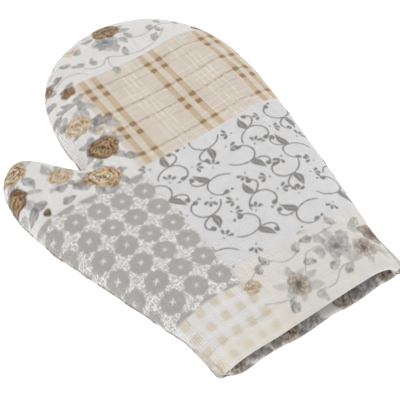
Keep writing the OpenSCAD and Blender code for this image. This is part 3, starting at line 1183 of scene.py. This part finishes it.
def thread_piece(name, node, tubes, material):
    """Thread as closed tubes that stand for a CAD node. Each tube is an array of rings of points."""
    points, faces, first = [], [], 0
    for rings in tubes:
        count, sides = rings.shape[:2]
        k = np.arange(sides)
        row = first + sides * np.arange(count - 1)[:, None] + k
        beside = row - k + (k + 1) % sides
        faces += np.stack([row, beside, beside + sides, row + sides], axis=2).reshape(-1, 4).tolist()
        faces += [(first + k[::-1]).tolist(), (first + sides * (count - 1) + k).tolist()]
        points.append(rings.reshape(-1, 3))
        first += count * sides
    obj = add_mesh(name, np.vstack(points), faces)
    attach(obj, "root")
    dress(obj, material)
    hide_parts(node)


def cuff_stitches(cloths, material):
    """The row of stitches that holds the hem, sunk in the cloth of both panels."""
    share = np.linspace(-1, 1, 6)
    thick = STITCH_THICK / 2 * np.sqrt(np.maximum(1 - share**2, 0.02))
    turn = 2 * math.pi * np.arange(THREAD_SIDES) / THREAD_SIDES
    stitches = []
    for side, cloth in cloths:
        outside = cloth.points[: cloth.panel_count]
        band = outside[np.abs(outside[:, 1] - (CUFF + HEM_STITCHES_AT)) < 1.2]
        band = band[np.argsort(band[:, 0])]
        along = np.concatenate([[0], np.cumsum(np.hypot(*np.diff(band[:, [0, 2]], axis=0).T))])
        for start in np.arange(STITCH_ROW_END, along[-1] - STITCH_ROW_END, STITCH_PITCH):
            spots = np.linspace(start, start + STITCH_LENGTH, len(share))
            centre = np.column_stack([np.interp(spots, along, band[:, k]) for k in range(3)])
            centre[:, 1] = CUFF + HEM_STITCHES_AT
            centre[:, 2] += side * STITCH_RISE * (1 - share**2)
            rings = np.repeat(centre[:, None], THREAD_SIDES, axis=1)
            rings[..., 1] += thick[:, None] * np.cos(turn)
            rings[..., 2] += 0.7 * thick[:, None] * np.sin(turn)
            stitches.append(rings)
    thread_piece("cuff_stitches", "hem_stitches", stitches, material)


def seam_thread(name, node, depth, material):
    """The lockstitch along the side seam, this far in from the edge, sagging with the cloth."""
    along = np.arange(THREAD_END, EDGE_LENGTH[-1] - THREAD_END, 1.2)
    edge = np.column_stack([np.interp(along, EDGE_LENGTH, EDGE[:, k]) for k in (0, 1)])
    flat = edge + seam_inward(along) * depth
    middle = settle(np.column_stack([flat, np.full(len(flat), SEAM)]), BACK)
    heading = np.gradient(middle, axis=0)
    heading /= np.linalg.norm(heading, axis=1)[:, None]
    beside = np.column_stack([heading[:, 1], -heading[:, 0], 0 * along])[:, None]
    turn = (2 * math.pi * np.arange(THREAD_SIDES) / THREAD_SIDES)[None, :, None]
    swell = THREAD_THICK / 2 * (1 + 0.25 * np.sin(2 * math.pi * along / STITCH_PITCH))
    round_it = beside * np.cos(turn) + np.array([0, 0, 1]) * np.sin(turn)
    thread_piece(name, node, [middle[:, None] + swell[:, None, None] * round_it], material)


def build_mitt():
    printed = canvas("printed_canvas", thread=1.2, painted_weave_shade=0.5, relief=0.0003)
    lining_cloth = canvas("lining_weave", thread=0.7, colour=rgb(216, 200, 180))
    fluff = batting("wadding_fibres")
    cotton = thread("sewing_thread", (0.66, 0.56, 0.47))

    front = outer_cloth("printed_front", "outer_front", FRONT, FRONT_GRID, front_print, printed)
    back = outer_cloth("printed_back", "outer_back", BACK, BACK_GRID, back_print, printed)
    cuff_stitches(((FRONT, front), (BACK, back)), cotton)
    wadding("padding_front", "wadding_front", FRONT, fluff)
    wadding("padding_back", "wadding_back", BACK, fluff)
    lining("lining_bag_front", "lining_front", FRONT, lining_cloth)
    lining("lining_bag_back", "lining_back", BACK, lining_cloth)
    seam_thread("panel_seam", "outer_seam_thread", CLOTH + THREAD_ROOM / 2, cotton)
    seam_thread("lining_seam", "lining_seam_thread", UNDER_WADDING - THREAD_ROOM / 2, cotton)


# ---------------------------------------------------------------- floor, light and camera

AZIMUTH = -34.4
ELEVATION = 46.6
TARGET = (-0.0034, -0.0394, 0.011)
DISTANCE = 0.6465
LENS = 90.0
FLOOR_HALF = 4000.0
FLOOR_GAP = 0.4
FLOOR_GLOW = 0.55
SKY_STRENGTH = 0.77
LAMP_DISTANCE = 1.5
# Name, azimuth, elevation, watts and size in metres.
LAMPS = (("key", 120, 60, 6.0, 1.2), ("fill", -60, 45, 3.0, 1.5))


def look_from(azimuth, elevation):
    """Unit vector from the object towards a viewer."""
    a, e = math.radians(azimuth), math.radians(elevation)
    return Vector((math.sin(a) * math.cos(e), -math.cos(a) * math.cos(e), math.sin(e)))


def aimed(name, data, target, towards, distance):
    """A camera or lamp this far from target, turned to it."""
    obj = bpy.data.objects.new(name, data)
    bpy.context.scene.collection.objects.link(obj)
    obj.location = Vector(target) + towards * distance
    obj.rotation_mode = "QUATERNION"
    obj.rotation_quaternion = (-towards).to_track_quat("-Z", "Y")
    return obj


def add_camera():
    data = bpy.data.cameras.new("camera")
    data.lens = LENS
    bpy.context.scene.camera = aimed("camera", data, TARGET, look_from(AZIMUTH, ELEVATION), DISTANCE)


def add_floor():
    corners = np.array([(-1, -1, 0), (1, -1, 0), (1, 1, 0), (-1, 1, 0)]) * FLOOR_HALF
    floor = add_mesh("floor", corners, [(0, 1, 2, 3)])
    floor.location.z = -FLOOR_GAP * MM
    nodes = Nodes("floor_paper")
    nodes.shader.inputs["Base Color"].default_value = (0.9, 0.9, 0.9, 1)
    nodes.shader.inputs["Emission Color"].default_value = (1, 1, 1, 1)
    nodes.shader.inputs["Emission Strength"].default_value = FLOOR_GLOW
    floor.data.materials.append(nodes.finish(0.9, 0.0))


def add_light():
    scene = bpy.context.scene
    scene.world = bpy.data.worlds.new("studio")
    scene.world.use_nodes = True
    sky = scene.world.node_tree.nodes["Background"]
    sky.inputs["Color"].default_value = (1.0, 1.0, 1.0, 1)
    sky.inputs["Strength"].default_value = SKY_STRENGTH
    for name, azimuth, elevation, power, size in LAMPS:
        data = bpy.data.lights.new(name, "AREA")
        data.energy = power
        data.size = size
        aimed(name, data, (0, 0, 0), look_from(azimuth, elevation), LAMP_DISTANCE)
    scene.view_settings.view_transform = "Standard"


add_camera()
add_light()
add_floor()
build_mitt()
